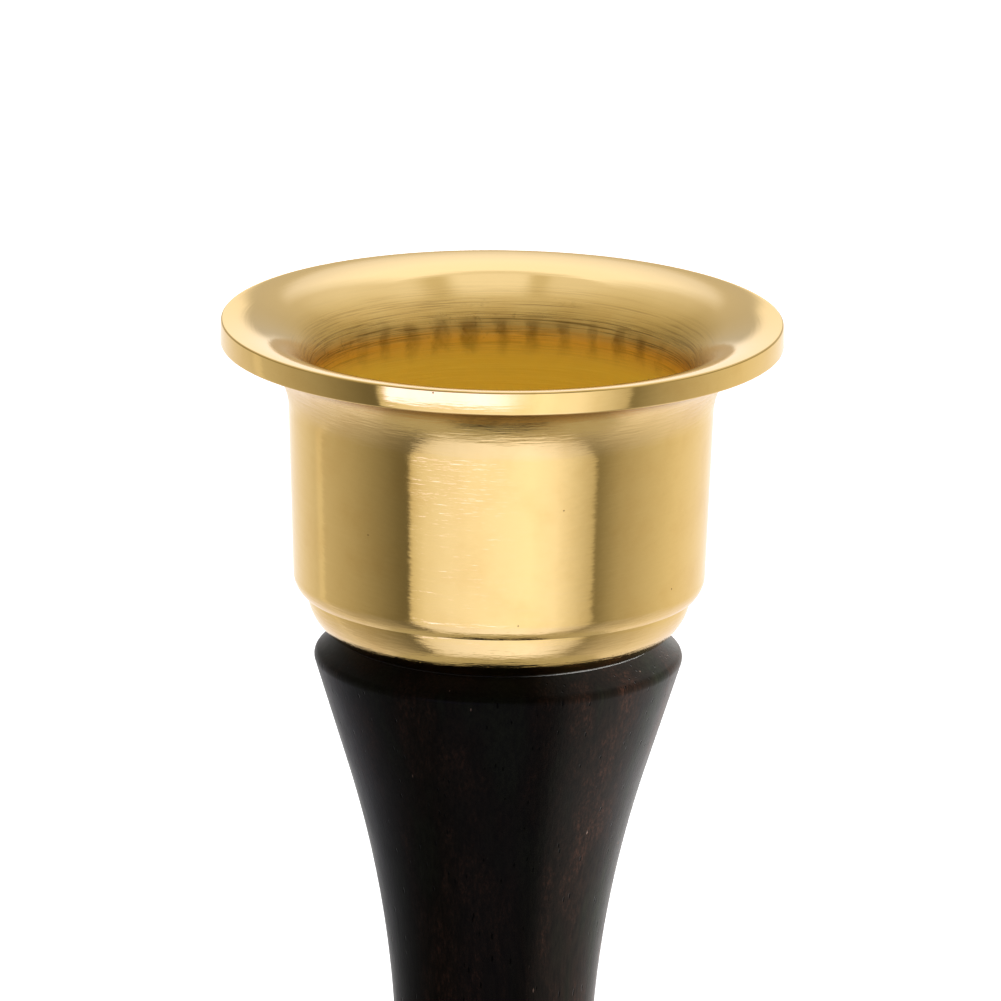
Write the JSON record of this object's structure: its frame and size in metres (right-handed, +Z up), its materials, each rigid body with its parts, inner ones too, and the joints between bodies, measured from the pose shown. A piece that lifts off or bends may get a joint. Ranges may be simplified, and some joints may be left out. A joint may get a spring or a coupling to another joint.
{
  "type": "candlestick",
  "caption": "Tall slender candlestick: a flared turned brass candle cup on a waisted dark wood stem, which sweeps out to a round weighted base with felt beneath.",
  "frame": {"origin": "middle of the felt face that the candlestick stands on", "axes": "+Z up along the turning axis, towards the candle"},
  "size_m": [0.076, 0.076, 0.18],
  "materials": {
    "polished_brass": "turned and polished, with fine turning lines in the flare",
    "screw_brass": "drawn, slightly dull",
    "dark_wood": "near-black close-grained hardwood, satin, with open pores",
    "screw_steel": "bright zinc-plated",
    "weight_iron": "turned flat, oiled",
    "felt": "thick pressed wool felt, dark green"
  },
  "bodies": {
    "root": {"candle_cup": "polished_brass", "cup_screw": "screw_brass", "stem": "dark_wood", "base": "dark_wood", "base_screw": "screw_steel", "base_washer": "screw_steel", "base_weight": "weight_iron", "weight_screws": "screw_steel", "felt_pad": "felt"}
  },
  "joints": []
}
